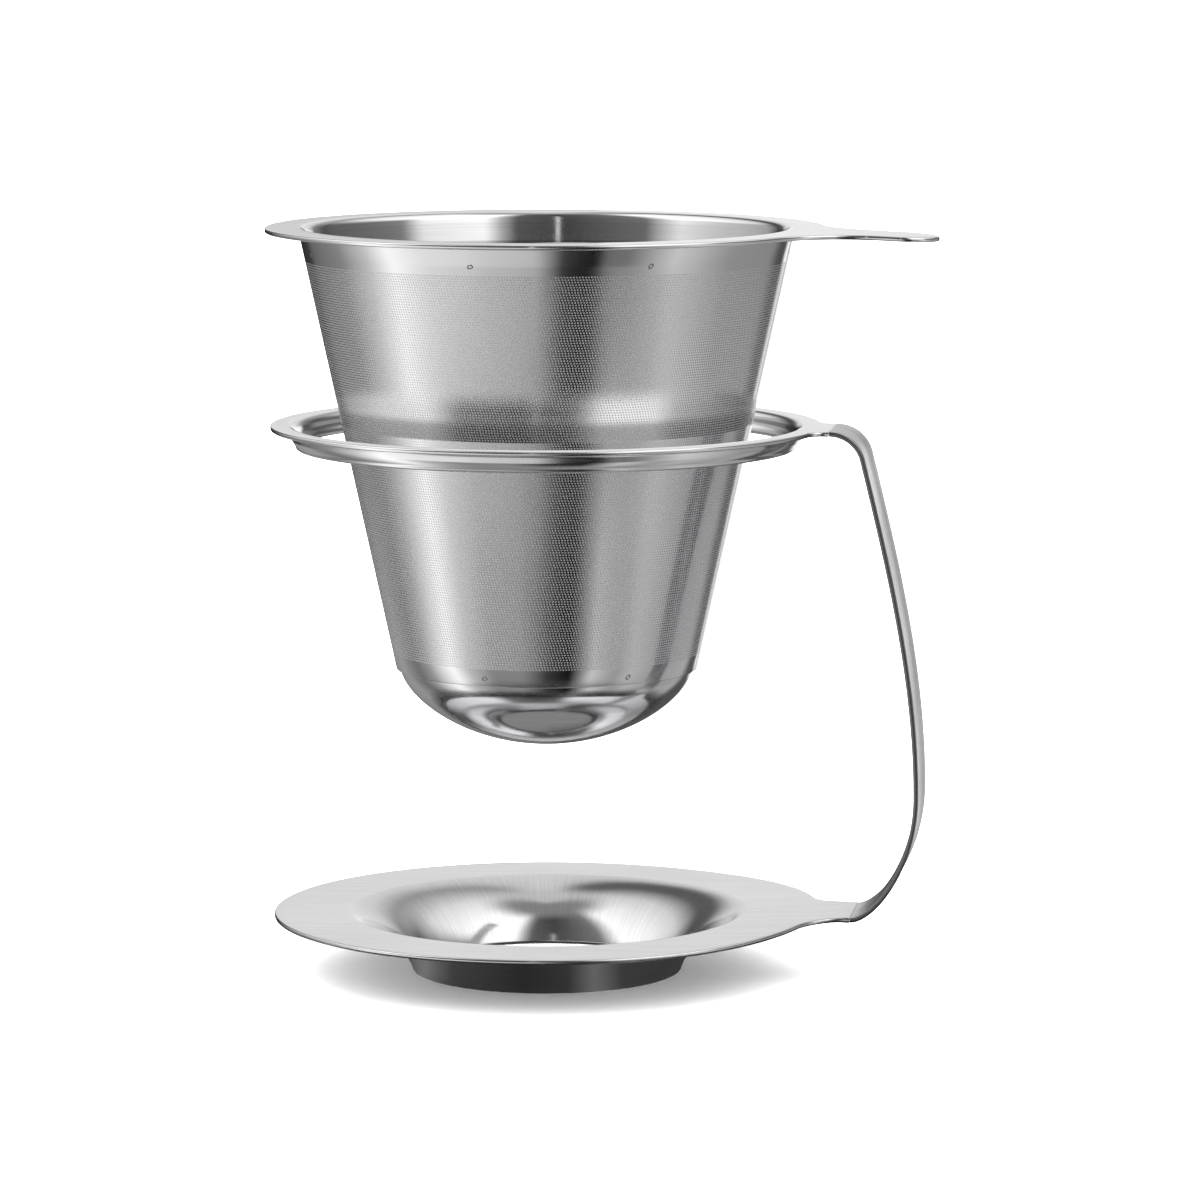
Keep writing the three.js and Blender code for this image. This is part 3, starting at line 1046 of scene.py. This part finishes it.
# paleness of the shade round the axis, by angle from the arm
shadeGlow = (
    (-180, 0.02), (-150, 0.06), (-128, 0.018), (-92, 0.008), (-72, 0.013),
    (-60, 0.05), (-46, 0.016), (0, 0.013), (180, 0.02),
)


def makeShade():
    # a dark card on the floor round the foot stands for the shade there
    card = flatCard("shadeCard", shade["inner"], shade["outer"], plateFoot - shade["below"])
    material, graph, shader = plainShader("shadeCard")
    spot = graph.node("ShaderNodeTexCoord").outputs["Object"]
    fromAxis = graph.vector("SUBTRACT", spot, (axisX, axisY, 0.0))
    angle, radius, _ = polar(graph, fromAxis)
    turnShare = graph.spread(angle, -math.pi, math.pi, 0, 1, smooth=False)
    graph.feed(shader.inputs["Base Color"], graph.ramp(turnShare, asStops(shadeGlow)))
    shader.inputs["Roughness"].default_value = 1.0
    shader.inputs["Specular IOR Level"].default_value = 0.0
    graph.feed(shader.inputs["Alpha"], graph.spread(radius, shade["fade"], shade["outer"], 1.0, 0.0))
    card.data.materials.append(material)


echo = {
    "inner": -14.2 * mm,   # all from the ring's own edge
    "dark": -9.0 * mm,     # painted shade of the gap between the ring and the cone, inside this
    "pale": -5.0 * mm,     # pale from here
    "fade": -1.0 * mm,     # and fading from here
    "outer": 8.0 * mm,
    "shades": (0.3, 0.85),
    "roughness": 0.2,
}


def makeRingEcho():
    # the ring's flat top as the cone mirrors it; from below it is clear, so the base doesn't mirror it
    edge = halfDepth("support_ring")
    card = flatCard("ringEcho", edge + echo["inner"], edge + echo["outer"], ringTop)
    material, graph, shader, fromAxis = steelBase("ringEcho")
    _, radius, _ = polar(graph, fromAxis)
    # dark inside, pale outside: the dark inner band is painted shade of the gap between the ring and
    # the cone
    tone = graph.spread(radius, edge + echo["dark"], edge + echo["pale"], *echo["shades"])
    graph.feed(shader.inputs["Base Color"], tone)
    shader.inputs["Roughness"].default_value = echo["roughness"]
    behind = graph.node("ShaderNodeNewGeometry").outputs["Backfacing"]
    cover = graph.spread(radius, edge + echo["fade"], edge + echo["outer"], 1.0, 0.0)
    graph.feed(shader.inputs["Alpha"], graph.times(cover, graph.minus(1.0, behind)))
    card.data.materials.append(material)


def makeLamp():
    # a wide lamp overhead whitens the floor; the metal sees only the studio round it
    lampData = bpy.data.lights.new("ceilingLamp", "AREA")
    lampData.shape = "DISK"
    lampData.size = studio["lampSize"]
    lampData.energy = studio["lampPower"]
    lamp = bpy.data.objects.new("ceilingLamp", lampData)
    bpy.context.scene.collection.objects.link(lamp)
    lamp.location = (axisX, axisY, studio["lampHeight"])
    lamp.visible_glossy = False


makeCamera()
makeFloor()
makeShade()
makeRingEcho()
makeStudio()
makeLamp()
print("studio ready")
